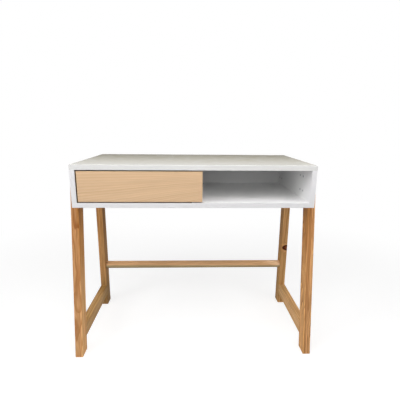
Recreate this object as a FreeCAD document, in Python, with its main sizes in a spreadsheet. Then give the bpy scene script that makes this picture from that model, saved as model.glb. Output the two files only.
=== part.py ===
import FreeCAD, Part
import os

import Sketcher

# Kneehole desk: a lacquered case hung between two pine leg frames, with one drawer and one open cubby.
# Millimetres. X runs across the desk, Y from the sitter to the wall, Z up from the floor.
# The origin is on the floor, under the middle of the desk.

doc = FreeCAD.newDocument("kneehole_desk")
V = FreeCAD.Vector
SIDES = {"left": -1, "right": 1}

# Driving dimensions
SIZES = {
    # case
    "desk_height": 750.0,
    "case_width": 865.0,
    "case_depth": 410.0,
    "case_height": 153.0,
    "board_thickness": 18.0,
    "board_round": 1.2,
    "back_thickness": 6.0,
    "back_lap": 9.0,
    "back_play": 0.3,
    # legs and stretchers
    "leg_thickness": 29.0,
    "leg_depth": 50.0,
    "leg_round": 1.8,
    "leg_setback": 63.0,
    "foot_reach": 16.0,
    "rear_leg_inset": 10.0,
    "leg_drop": 20.0,
    "rail_height": 49.0,
    "rail_rise": 54.0,
    "stretcher_diameter": 35.0,
    "stretcher_rise": 204.0,
    "tenon_diameter": 18.0,
    "tenon_length": 14.0,
    # glued dowels
    "dowel_diameter": 8.0,
    "dowel_length": 32.0,
    "dowel_in_face": 11.0,
    "dowel_margin": 50.0,
    "rail_dowel_spread": 24.0,
    "dowel_play": 0.1,
    "dowel_end_play": 1.0,
    # screws
    "screw_play": 0.1,
    "leg_screw_diameter": 4.5,
    "leg_screw_length": 36.0,
    "leg_screw_rise": 30.0,
    "leg_screw_rows": 54.0,
    "leg_screw_spread": 32.0,
    "back_screw_diameter": 3.0,
    "back_screw_length": 18.0,
    "back_screw_margin": 60.0,
    "box_screw_diameter": 3.5,
    "box_screw_length": 30.0,
    "box_screw_margin": 16.0,
    "front_screw_length": 25.0,
    "front_screw_margin": 60.0,
    "slide_screw_diameter": 3.5,
    "case_rail_screw_length": 14.0,
    "drawer_rail_screw_length": 10.5,
    "slide_screw_margin": 35.0,
    # drawer
    "front_width": 437.5,
    "front_thickness": 18.0,
    "front_round": 1.0,
    "front_inset": 0.5,
    "front_gap_left": 4.5,
    "front_gap_top": 4.5,
    "front_gap_bottom": 3.5,
    "front_overhang": 20.0,
    "divider_clearance": 2.0,
    "box_lift": 14.0,
    "box_height": 84.0,
    "box_depth": 350.0,
    "box_wall": 12.0,
    "bottom_thickness": 4.0,
    "groove_depth": 5.0,
    "groove_rise": 8.0,
    "groove_play": 0.15,
    # ball-bearing slides
    "slide_thickness": 12.7,
    "slide_height": 35.0,
    "slide_length": 345.0,
    "slide_setback": 3.0,
    "slide_sheet": 1.2,
    "case_rail_lip": 10.3,
    "drawer_rail_lip": 3.2,
    "ball_diameter": 4.0,
    "ball_play": 0.15,
    "ball_pitch": 12.0,
    "ball_offset": 6.2,
    "cage_sheet": 0.8,
    "cage_gap": 0.5,
    "cage_lip": 9.0,
    "cage_play": 1.0,
    "bumper_length": 6.0,
    "bumper_play": 0.3,
    "drawer_travel": 250.0,
}

# Places worked out from the driving dimensions
PLACES = {
    "case_front": "(dims.foot_reach - dims.case_depth) / 2",
    "case_back": "case_front + dims.case_depth",
    "case_base": "dims.desk_height - dims.case_height",
    "cubby_floor": "case_base + dims.board_thickness",
    "cubby_ceiling": "dims.desk_height - dims.board_thickness",
    "cubby_height": "cubby_ceiling - cubby_floor",
    "outer_x": "dims.case_width / 2",
    "inner_x": "outer_x - dims.board_thickness",
    "back_face": "case_back - dims.back_thickness",
    "foot_front": "case_front - dims.foot_reach",
    "lean": "(dims.foot_reach + dims.leg_setback) / case_base",
    "leg_length": "dims.desk_height - dims.leg_drop",
    "rear_leg_front": "case_back - dims.rear_leg_inset - dims.leg_depth",
    "rear_leg_middle": "rear_leg_front + dims.leg_depth / 2",
    "rail_low_front": "foot_front + dims.leg_depth + lean * dims.rail_rise",
    "front_left_edge": "dims.front_gap_left - inner_x",
    "front_right_edge": "front_left_edge + dims.front_width",
    "front_base": "cubby_floor + dims.front_gap_bottom",
    "front_height": "cubby_height - dims.front_gap_bottom - dims.front_gap_top",
    "divider_right": "front_right_edge - dims.front_overhang",
    "divider_left": "divider_right - dims.board_thickness",
    "box_front": "case_front + dims.front_inset + dims.front_thickness",
    "box_back": "box_front + dims.box_depth",
    "divider_front": "box_front + dims.divider_clearance",
    "box_left": "dims.slide_thickness - inner_x",
    "box_right": "divider_left - dims.slide_thickness",
    "box_width": "box_right - box_left",
    "box_base": "cubby_floor + dims.box_lift",
    "groove_base": "box_base + dims.groove_rise",
    "groove_height": "dims.bottom_thickness + 2 * dims.groove_play",
    "groove_reach": "dims.box_wall - dims.groove_depth",
    "slide_front": "box_front + dims.slide_setback",
    "slide_middle": "slide_front + dims.slide_length / 2",
    "slide_base": "box_base + (dims.box_height - dims.slide_height) / 2",
    "slide_axis": "slide_base + dims.slide_height / 2",
    "ball_rise": "dims.slide_sheet + dims.ball_play + dims.ball_diameter / 2",
    "race_rise": "ball_rise + dims.ball_diameter / 2 + dims.ball_play",
    "cage_web": "dims.slide_sheet + dims.cage_gap",
    "drawer_rail_length": "dims.slide_length - dims.bumper_length - dims.bumper_play",
    "cage_length": "drawer_rail_length - dims.drawer_travel - dims.cage_play",
    "cage_front": "slide_front + (dims.drawer_travel + dims.cage_play) / 2",
    "cage_middle": "cage_front + cage_length / 2",
}


def fill_sheet(name, cells):
    """Write one aliased cell per entry.

    cells maps an alias to the text of its cell.
    """
    sheet = doc.addObject("Spreadsheet::Sheet", name)
    for row, (alias, text) in enumerate(cells.items(), start=1):
        sheet.set(f"A{row}", alias)
        sheet.set(f"B{row}", text)
        sheet.setAlias(f"B{row}", alias)
    doc.recompute()
    return sheet


dims = fill_sheet("dims", {alias: str(value) for alias, value in SIZES.items()})
place = fill_sheet("place", {alias: "=" + formula for alias, formula in PLACES.items()})


def size(alias):
    """The number that a cell of either sheet holds."""
    return float(getattr(dims if alias in SIZES else place, alias))


def bind(obj, **formulas):
    """Tie properties of an object to formulas on the sheets."""
    for name, formula in formulas.items():
        obj.setExpression(name, formula)


def locate(obj, x, y, z):
    """Tie an object's place to three formulas."""
    for axis, formula in zip("xyz", (x, y, z)):
        obj.setExpression(f"Placement.Base.{axis}", formula)


def origin_plane(body, role):
    """One of a body's own origin planes."""
    return next(feature for feature in body.Origin.OriginFeatures if feature.Role == role)


def outline(body, role, points):
    """A closed sketch of straight lines; each corner is a pair of formulas, none of them negative."""
    sketch = body.newObject("Sketcher::SketchObject", body.Name + "_outline")
    sketch.AttachmentSupport = [(origin_plane(body, role), "")]
    sketch.MapMode = "FlatFace"
    place_of = [[doc_value(formula) for formula in point] for point in points]
    count = len(points)
    for index in range(count):
        start = V(*place_of[index], 0)
        end = V(*place_of[(index + 1) % count], 0)
        sketch.addGeometry(Part.LineSegment(start, end))
    for index in range(count):
        sketch.addConstraint(Sketcher.Constraint("Coincident", index, 2, (index + 1) % count, 1))
    for index, point in enumerate(points):
        for kind, formula, value in zip(("DistanceX", "DistanceY"), point, place_of[index]):
            datum = sketch.addConstraint(Sketcher.Constraint(kind, -1, 1, index, 1, value))
            sketch.renameConstraint(datum, f"{kind}{index}")
            sketch.setExpression(f"Constraints.{kind}{index}", formula)
    return sketch


def doc_value(formula):
    """The present value of a formula on the sheets."""
    value = dims.evalExpression(formula)
    return float(value)


def prism(name, role, points, depth, reverse=False):
    """A body whose outline on one origin plane is padded to a depth."""
    body = doc.addObject("PartDesign::Body", name)
    pad = body.newObject("PartDesign::Pad", name + "_pad")
    pad.Profile = outline(body, role, points)
    pad.Reversed = reverse
    bind(pad, Length=depth)
    doc.recompute()
    return body


def soften(body, radius, keep):
    """Round the edges of a body that pass a test."""
    base = body.Tip
    names = [f"Edge{n}" for n, edge in enumerate(base.Shape.Edges, start=1) if keep(edge)]
    fillet = body.newObject("PartDesign::Fillet", body.Name + "_fillet")
    fillet.Base = (base, names)
    bind(fillet, Radius=radius)
    doc.recompute()


def board(name, length, width, height, x, y, z):
    """A board: a rectangle padded upwards, with its lowest corner at x, y, z."""
    corners = [("0", "0"), (length, "0"), (length, width), ("0", width)]
    body = prism(name, "XY_Plane", corners, height)
    locate(body, x, y, z)
    return body


def block(name, length, width, height, x, y, z):
    """A plain box that cuts a rebate or a groove."""
    box = doc.addObject("Part::Box", name)
    bind(box, Length=length, Width=width, Height=height)
    locate(box, x, y, z)
    return box


def set_shape(name, shape):
    """An object that holds a ready shape."""
    obj = doc.addObject("Part::Feature", name)
    obj.Shape = shape
    return obj


def cut(label, base, *tools):
    """The base less all the tools, as the sub-part called label."""
    joined = tools[0]
    if len(tools) > 1:
        joined = doc.addObject("Part::Compound", label + "_cuts")
        joined.Links = list(tools)
    piece = doc.addObject("Part::Cut", label)
    piece.Base = base
    piece.Tool = joined
    return finish(label, piece)


SUB_PARTS = {}


def finish(label, obj):
    """Give a sub-part the label that names its file."""
    obj.Label = label
    SUB_PARTS[label] = obj
    return obj


def wood_screw(diameter, length, play=0.0):
    """A countersunk screw with its head's flat face at the origin, driven along +Z.

    play widens it all round, for the hole that it leaves.
    """
    shank = diameter / 2 + play
    head = diameter + play
    tip = length + play
    point = diameter
    profile = [V(0, 0, 0), V(head, 0, 0), V(shank, 0, diameter / 2), V(shank, 0, tip - point), V(0, 0, tip)]
    return Part.Face(Part.makePolygon(profile + profile[:1])).revolve(V(0, 0, 0), V(0, 0, 1), 360)


def round_peg(diameter, length, play=0.0, end_play=0.0):
    """A dowel along +Z with its middle at the origin."""
    half = length / 2 + end_play
    return Part.makeCylinder(diameter / 2 + play, 2 * half, V(0, 0, -half))


def group(shape, spots):
    """Copies of a shape, one at each spot: a point and the direction that its own +Z takes."""
    copies = []
    for point, direction in spots:
        copy = shape.copy()
        copy.Placement = FreeCAD.Placement(point, FreeCAD.Rotation(V(0, 0, 1), direction))
        copies.append(copy)
    return Part.makeCompound(copies)


def screws(label, diameter, length, spots):
    """A group of screws as one sub-part, and the tool that cuts their holes."""
    diameter, length = size(diameter), size(length)
    finish(label, set_shape(label, group(wood_screw(diameter, length), spots)))
    return set_shape(label + "_holes", group(wood_screw(diameter, length, size("screw_play")), spots))


def dowels(label, spots):
    """A group of dowels as one sub-part, and the tool that cuts their holes."""
    diameter, length = size("dowel_diameter"), size("dowel_length")
    finish(label, set_shape(label, group(round_peg(diameter, length), spots)))
    hole = round_peg(diameter, length, size("dowel_play"), size("dowel_end_play"))
    return set_shape(label + "_holes", group(hole, spots))


X, Y, Z = V(1, 0, 0), V(0, 1, 0), V(0, 0, 1)

# Dowels of the case: three at each corner joint, two at each end of the divider
margin = size("dowel_margin")
case_middle = (size("case_front") + size("case_back")) / 2
rows_side = [size("case_front") + margin, case_middle, size("case_back") - margin]
rows_divider = [size("divider_front") + margin, size("case_back") - margin]
side_middle = size("outer_x") - size("board_thickness") / 2
divider_middle = size("divider_left") + size("board_thickness") / 2
sunk = size("dowel_length") / 2 - size("dowel_in_face")
levels = [size("cubby_floor") + sunk, size("cubby_ceiling") - sunk]
columns = [(-side_middle, rows_side), (side_middle, rows_side), (divider_middle, rows_divider)]
case_dowel_holes = dowels(
    "case_dowels",
    [(V(x, y, z), Z) for x, rows in columns for y in rows for z in levels],
)

# Screws that hold the legs, driven outwards from inside the case
low_row = size("cubby_floor") + size("leg_screw_rise")
leg_rows = [low_row, low_row + size("leg_screw_rows")]
spread = size("leg_screw_spread") / 2


def leg_middle(which, height):
    """How far back a leg's centre line lies at a height."""
    if which == "rear":
        return size("rear_leg_middle")
    return size("foot_front") + size("lean") * height + size("leg_depth") / 2


leg_screw_spots = [
    (V(side * size("inner_x"), leg_middle(which, z) + shift, z), X * side)
    for side in SIDES.values()
    for which in ("front", "rear")
    for z in leg_rows
    for shift in (-spread, spread)
]
leg_screw_holes = screws("leg_screws", "leg_screw_diameter", "leg_screw_length", leg_screw_spots)

# Screws round the back panel, driven forwards into the rebates of the case
land = size("back_lap") / 2
back_reach = size("inner_x") - size("back_screw_margin")
back_columns = [-back_reach, -back_reach / 3, back_reach / 3, back_reach]
back_edges = [size("cubby_floor") - land, size("cubby_ceiling") + land]
back_middle = (size("cubby_floor") + size("cubby_ceiling")) / 2
back_spots = [(x, z) for x in back_columns for z in back_edges]
back_spots += [(side * (size("inner_x") + land), back_middle) for side in SIDES.values()]
back_screw_holes = screws(
    "back_screws",
    "back_screw_diameter",
    "back_screw_length",
    [(V(x, size("case_back"), z), -Y) for x, z in back_spots],
)

# Screws of the two slides: into the case, and into the drawer
slide_rows = [
    size("slide_front") + size("slide_screw_margin"),
    size("slide_middle"),
    size("slide_front") + size("drawer_rail_length") - size("slide_screw_margin"),
]
slide_walls = {"left": (-size("inner_x"), 1), "right": (size("divider_left"), -1)}
case_rail_screw_holes = screws(
    "case_rail_screws",
    "slide_screw_diameter",
    "case_rail_screw_length",
    [
        (V(wall + inward * size("slide_sheet"), y, size("slide_axis")), X * -inward)
        for wall, inward in slide_walls.values()
        for y in slide_rows
    ],
)
drawer_rail_seat = size("slide_thickness") - size("slide_sheet")
drawer_rail_screw_holes = screws(
    "drawer_rail_screws",
    "slide_screw_diameter",
    "drawer_rail_screw_length",
    [
        (V(wall + inward * drawer_rail_seat, y, size("slide_axis")), X * inward)
        for wall, inward in slide_walls.values()
        for y in slide_rows
    ],
)

# Case
back_rebate = block(
    "back_rebate",
    "2 * (place.inner_x + dims.back_lap)",
    "dims.back_thickness",
    "place.cubby_height + 2 * dims.back_lap",
    "-place.inner_x - dims.back_lap",
    "place.back_face",
    "place.cubby_floor - dims.back_lap",
)


def outer_edges(body, face_height):
    """Round a board's four edges at one height and its four upright corners."""

    def keep(edge):
        box = edge.BoundBox
        return box.ZLength > size("board_round") or abs(box.ZMin - face_height) < size("board_round")

    soften(body, "dims.board_round", keep)


def flat_board(name, z):
    """A board as wide and deep as the case."""
    return board(
        name,
        "dims.case_width",
        "dims.case_depth",
        "dims.board_thickness",
        "-place.outer_x",
        "place.case_front",
        z,
    )


top_blank = flat_board("top_blank", "place.cubby_ceiling")
outer_edges(top_blank, size("board_thickness"))
cut("case_top", top_blank, back_rebate, case_dowel_holes, back_screw_holes)

bottom_blank = flat_board("bottom_blank", "place.case_base")
outer_edges(bottom_blank, 0)
cut("case_bottom", bottom_blank, back_rebate, case_dowel_holes, back_screw_holes)



def outer_uprights(side_board, face):
    """Round the two upright edges of a case side's outer face."""

    def keep(edge):
        box = edge.BoundBox
        return box.ZLength > size("board_thickness") and abs(box.Center.x - face) < size("board_round")

    soften(side_board, "dims.board_round", keep)


SIDE_STARTS = {"left": "-place.outer_x", "right": "place.inner_x"}
for side, start in SIDE_STARTS.items():
    side_blank = board(
        side + "_side_blank",
        "dims.board_thickness",
        "dims.case_depth",
        "place.cubby_height",
        start,
        "place.case_front",
        "place.cubby_floor",
    )
    outer_uprights(side_blank, 0 if side == "left" else size("board_thickness"))
    cut(
        f"case_{side}_side",
        side_blank,
        back_rebate,
        case_dowel_holes,
        leg_screw_holes,
        back_screw_holes,
        case_rail_screw_holes,
    )

back_blank = board(
    "back_blank",
    "2 * (place.inner_x + dims.back_lap - dims.back_play)",
    "dims.back_thickness",
    "place.cubby_height + 2 * (dims.back_lap - dims.back_play)",
    "dims.back_play - place.inner_x - dims.back_lap",
    "place.back_face",
    "place.cubby_floor - dims.back_lap + dims.back_play",
)
cut("case_back", back_blank, back_screw_holes)

divider_blank = board(
    "divider_blank",
    "dims.board_thickness",
    "place.back_face - place.divider_front",
    "place.cubby_height",
    "place.divider_left",
    "place.divider_front",
    "place.cubby_floor",
)
cut("divider", divider_blank, case_dowel_holes, case_rail_screw_holes)

# Leg frames
rail_middle_z = size("rail_rise") + size("rail_height") / 2
rail_levels = [rail_middle_z + shift * size("rail_dowel_spread") / 2 for shift in (-1, 1)]
leg_middle_x = size("outer_x") + size("leg_thickness") / 2


def rail_ends(height):
    """Where a side rail meets the front leg and the rear leg at a height."""
    front = size("foot_front") + size("leg_depth") + size("lean") * height
    return front, size("rear_leg_front")


rail_dowel_holes = dowels(
    "rail_dowels",
    [
        (V(side * leg_middle_x, y, z), Y)
        for side in SIDES.values()
        for z in rail_levels
        for y in rail_ends(z)
    ],
)

tenon_span = "dims.case_width + 2 * dims.tenon_length"


def cross_bar(name, diameter, length):
    """A round bar along X, centred under the desk at the stretcher's place."""
    bar = doc.addObject("Part::Cylinder", name)
    bind(bar, Radius=f"({diameter}) / 2", Height=length)
    bar.Placement.Rotation = FreeCAD.Rotation(Z, X)
    locate(bar, f"-({length}) / 2", "place.rear_leg_middle", "dims.stretcher_rise")
    return bar


stretcher = doc.addObject("Part::Fuse", "stretcher_bar")
stretcher.Base = cross_bar("stretcher_body", "dims.stretcher_diameter", "dims.case_width")
stretcher.Tool = cross_bar("stretcher_tenons", "dims.tenon_diameter", tenon_span)
finish("stretcher_bar", stretcher)
tenon_holes = cross_bar(
    "tenon_holes",
    "dims.tenon_diameter + 2 * dims.dowel_play",
    tenon_span + " + 2 * dims.dowel_end_play",
)

LEG_STARTS = {"left": "-place.outer_x - dims.leg_thickness", "right": "place.outer_x"}
FRONT_LEG = [
    ("0", "0"),
    ("dims.leg_depth", "0"),
    ("place.lean * place.leg_length + dims.leg_depth", "place.leg_length"),
    ("place.lean * place.leg_length", "place.leg_length"),
]
REAR_LEG = [
    ("0", "0"),
    ("dims.leg_depth", "0"),
    ("dims.leg_depth", "place.leg_length"),
    ("0", "place.leg_length"),
]
RAIL = [
    ("0", "0"),
    ("place.rear_leg_front - place.rail_low_front", "0"),
    ("place.rear_leg_front - place.rail_low_front", "dims.rail_height"),
    ("place.lean * dims.rail_height", "dims.rail_height"),
]


def pine(name, points, x, y, z):
    """A bar of the leg frame, cut from its side view, with its long edges rounded."""
    body = prism(name, "YZ_Plane", points, "dims.leg_thickness")
    locate(body, x, y, z)
    soften(body, "dims.leg_round", lambda edge: edge.Length > 2 * size("leg_depth"))
    return body


for side, start in LEG_STARTS.items():
    front_leg = pine(side + "_front_leg_blank", FRONT_LEG, start, "place.foot_front", "0")
    cut(f"front_{side}_leg", front_leg, leg_screw_holes, rail_dowel_holes)
    rear_leg = pine(side + "_rear_leg_blank", REAR_LEG, start, "place.rear_leg_front", "0")
    cut(f"rear_{side}_leg", rear_leg, leg_screw_holes, rail_dowel_holes, tenon_holes)
    rail_blank = pine(side + "_rail_blank", RAIL, start, "place.rail_low_front", "dims.rail_rise")
    cut(f"{side}_side_rail", rail_blank, rail_dowel_holes)

# Drawer box
box_screw_rows = [
    size("box_front") + size("box_wall") / 2,
    size("box_back") - size("box_wall") / 2,
]
box_screw_levels = [
    size("box_base") + size("box_screw_margin"),
    size("box_base") + size("box_height") - size("box_screw_margin"),
]
box_screw_holes = screws(
    "drawer_box_screws",
    "box_screw_diameter",
    "box_screw_length",
    [
        (V(x, y, z), X * inward)
        for x, inward in ((size("box_left"), 1), (size("box_right"), -1))
        for y in box_screw_rows
        for z in box_screw_levels
    ],
)
front_screw_columns = [
    size("box_left") + size("front_screw_margin"),
    size("box_right") - size("front_screw_margin"),
]
front_screw_holes = screws(
    "front_screws",
    "box_screw_diameter",
    "front_screw_length",
    [
        (V(x, size("box_front") + size("box_wall"), z), -Y)
        for x in front_screw_columns
        for z in box_screw_levels
    ],
)
bottom_groove = block(
    "bottom_groove",
    "place.box_width - 2 * place.groove_reach",
    "dims.box_depth - 2 * place.groove_reach",
    "place.groove_height",
    "place.box_left + place.groove_reach",
    "place.box_front + place.groove_reach",
    "place.groove_base",
)
WALL_STARTS = {"left": "place.box_left", "right": "place.box_right - dims.box_wall"}
for side, start in WALL_STARTS.items():
    wall_blank = board(
        side + "_wall_blank",
        "dims.box_wall",
        "dims.box_depth",
        "dims.box_height",
        start,
        "place.box_front",
        "place.box_base",
    )
    cut(f"drawer_{side}_side", wall_blank, bottom_groove, box_screw_holes, drawer_rail_screw_holes)

CROSS_STARTS = {"drawer_inner_front": "place.box_front", "drawer_back": "place.box_back - dims.box_wall"}
for label, start in CROSS_STARTS.items():
    cross_blank = board(
        label + "_blank",
        "place.box_width - 2 * dims.box_wall",
        "dims.box_wall",
        "dims.box_height",
        "place.box_left + dims.box_wall",
        start,
        "place.box_base",
    )
    cut(label, cross_blank, bottom_groove, box_screw_holes, front_screw_holes)

finish(
    "drawer_bottom",
    board(
        "drawer_bottom",
        "place.box_width - 2 * (place.groove_reach + dims.groove_play)",
        "dims.box_depth - 2 * (place.groove_reach + dims.groove_play)",
        "dims.bottom_thickness",
        "place.box_left + place.groove_reach + dims.groove_play",
        "place.box_front + place.groove_reach + dims.groove_play",
        "place.groove_base",
    ),
)

front_blank = board(
    "drawer_front_blank",
    "dims.front_width",
    "dims.front_thickness",
    "place.front_height",
    "place.front_left_edge",
    "place.case_front + dims.front_inset",
    "place.front_base",
)
soften(front_blank, "dims.front_round", lambda edge: edge.BoundBox.YMax < size("front_round"))
cut("drawer_front", front_blank, front_screw_holes)

# Slides: each profile is drawn from the wall that carries the case rail towards the drawer


def channel(lip, web_inner, web_outer, rise, sheet):
    """A channel's outline, as (across, up) formulas: a web between two lips that reach one way.

    lip is the free edge of both lips; web_inner and web_outer are the web's two faces.
    """
    top = f"dims.slide_height - ({rise})"
    return [
        (web_outer, rise),
        (lip, rise),
        (lip, f"({rise}) + {sheet}"),
        (web_inner, f"({rise}) + {sheet}"),
        (web_inner, f"{top} - {sheet}"),
        (lip, f"{top} - {sheet}"),
        (lip, top),
        (web_outer, top),
    ]


CASE_CHANNEL = channel("dims.case_rail_lip", "dims.slide_sheet", "0", "0", "dims.slide_sheet")
DRAWER_CHANNEL = channel(
    "dims.drawer_rail_lip",
    "dims.slide_thickness - dims.slide_sheet",
    "dims.slide_thickness",
    "place.race_rise",
    "dims.slide_sheet",
)
CAGE_CHANNEL = channel(
    "dims.cage_lip",
    "place.cage_web + dims.cage_sheet",
    "place.cage_web",
    "place.ball_rise - dims.cage_sheet / 2",
    "dims.cage_sheet",
)


def slide_profile(name, side, points, length, y):
    """A slide's pressed strip, running back from y; the right-hand one is the left one's mirror image."""
    if side == "right":
        points = [(f"dims.slide_thickness - ({across})", up) for across, up in points]
    body = prism(name, "XZ_Plane", points, length, reverse=True)
    start = "-place.inner_x" if side == "left" else "place.divider_left - dims.slide_thickness"
    locate(body, start, y, "place.slide_base")
    return body


ball_rows = int(size("cage_length") // size("ball_pitch"))
first_ball = size("cage_middle") - (ball_rows - 1) * size("ball_pitch") / 2
ball_levels = [
    size("slide_base") + size("ball_rise"),
    size("slide_base") + size("slide_height") - size("ball_rise"),
]
for side, (wall, inward) in slide_walls.items():
    case_rail = slide_profile(
        side + "_case_rail_blank", side, CASE_CHANNEL, "dims.slide_length", "place.slide_front"
    )
    cut(f"{side}_case_rail", case_rail, case_rail_screw_holes)
    drawer_rail = slide_profile(
        side + "_drawer_rail_blank", side, DRAWER_CHANNEL, "place.drawer_rail_length", "place.slide_front"
    )
    cut(f"{side}_drawer_rail", drawer_rail, drawer_rail_screw_holes)
    ball_spots = [
        (V(wall + inward * size("ball_offset"), first_ball + row * size("ball_pitch"), z), Z)
        for row in range(ball_rows)
        for z in ball_levels
    ]
    ball = Part.makeSphere(size("ball_diameter") / 2)
    finish(f"{side}_slide_balls", set_shape(f"{side}_slide_balls", group(ball, ball_spots)))
    pocket = Part.makeSphere(size("ball_diameter") / 2 + size("ball_play"))
    pockets = set_shape(side + "_ball_pockets", group(pocket, ball_spots))
    cage = slide_profile(side + "_cage_blank", side, CAGE_CHANNEL, "place.cage_length", "place.cage_front")
    cut(f"{side}_ball_cage", cage, pockets)

# Rubber bumpers that stop the drawer rails at the back of the case rails
bumpers = []
for side in slide_walls:
    bumper_width = "dims.slide_thickness - 2 * dims.slide_sheet"
    start = "-place.inner_x + dims.slide_sheet"
    if side == "right":
        start = "place.divider_left - dims.slide_thickness + dims.slide_sheet"
    bumpers.append(
        block(
            side + "_bumper",
            bumper_width,
            "dims.bumper_length",
            "dims.slide_height - 2 * dims.slide_sheet",
            start,
            "place.slide_front + place.drawer_rail_length + dims.bumper_play",
            "place.slide_base + dims.slide_sheet",
        )
    )
bumper_group = doc.addObject("Part::Compound", "slide_bumpers")
bumper_group.Links = bumpers
finish("slide_bumpers", bumper_group)

doc.recompute()

# Every object has to be sound before any file is written
for obj in doc.Objects:
    if "Invalid" in obj.State or "Error" in obj.State:
        raise RuntimeError(f"{obj.Label} failed: {obj.State}")
for label, obj in SUB_PARTS.items():
    if obj.Shape.isNull() or not obj.Shape.isValid() or not obj.Shape.Solids:
        raise RuntimeError(f"{label} has no sound solid")

os.makedirs("parts", exist_ok=True)
for label, obj in SUB_PARTS.items():
    obj.Shape.exportStep(f"parts/{label}.step")
    print(f"{label}: {len(obj.Shape.Solids)} solid(s), {obj.Shape.Volume / 1000:.1f} cm3")
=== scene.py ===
"""Looks of the kneehole desk: its finishes, its cross-head screws and the studio round it."""

import logging
import math
from dataclasses import dataclass, replace
from enum import Enum
from typing import Iterable, Sequence, Union

import bpy
import numpy as np
from mathutils import Matrix, Vector

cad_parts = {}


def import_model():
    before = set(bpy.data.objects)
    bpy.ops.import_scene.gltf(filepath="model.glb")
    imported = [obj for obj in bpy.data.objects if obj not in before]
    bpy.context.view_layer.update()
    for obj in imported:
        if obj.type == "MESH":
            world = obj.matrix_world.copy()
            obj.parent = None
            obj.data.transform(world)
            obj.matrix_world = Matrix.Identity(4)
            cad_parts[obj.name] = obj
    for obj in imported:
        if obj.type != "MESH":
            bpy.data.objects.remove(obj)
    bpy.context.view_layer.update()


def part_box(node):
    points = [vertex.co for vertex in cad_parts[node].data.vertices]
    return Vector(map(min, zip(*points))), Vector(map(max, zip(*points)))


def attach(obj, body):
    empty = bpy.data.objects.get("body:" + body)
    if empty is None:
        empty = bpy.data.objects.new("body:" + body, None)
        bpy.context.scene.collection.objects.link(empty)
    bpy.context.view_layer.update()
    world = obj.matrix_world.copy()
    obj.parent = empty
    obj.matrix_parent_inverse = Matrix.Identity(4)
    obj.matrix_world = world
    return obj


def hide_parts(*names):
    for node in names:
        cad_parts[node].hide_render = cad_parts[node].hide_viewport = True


LOG = logging.getLogger("desk")
MM = 0.001

Colour = tuple[float, float, float]
Point = tuple[float, float, float]
Span = tuple[float, float]
Block = Union[bpy.types.Material, bpy.types.World]
Socket = bpy.types.NodeSocket
Value = Union[Socket, float, Sequence[float]]

# Raw brown board, on the faces round the drawer that have no lacquer; its dark colour also paints the shade
# in the gaps round the drawer front.
RAW_BOARD_AND_GAP_SHADE: Colour = (0.25, 0.172, 0.115)
WHITE: Colour = (1.0, 1.0, 1.0)
# Metres, past every end of the desk.
FAR = 1.0
# About the middle of the desk's front, where most lamps aim.
FRONT_MIDDLE: Point = (0.0, -0.15, 0.6)


class Axis(Enum):
    """The three directions of the desk's frame."""

    X = (1.0, 0.0, 0.0)
    Y = (0.0, 1.0, 0.0)
    Z = (0.0, 0.0, 1.0)


class Ramp(Enum):
    """How a step goes from its low end to its high end."""

    SMOOTH = "SMOOTHSTEP"
    STRAIGHT = "LINEAR"


@dataclass(frozen=True)
class Zone:
    """A box in which a finish has a colour of its own.

    The colour is full all through the box, or comes in from one depth along Y to another.
    """

    low: Point
    high: Point
    colour: Colour
    come_in: Span | None = None


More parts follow.
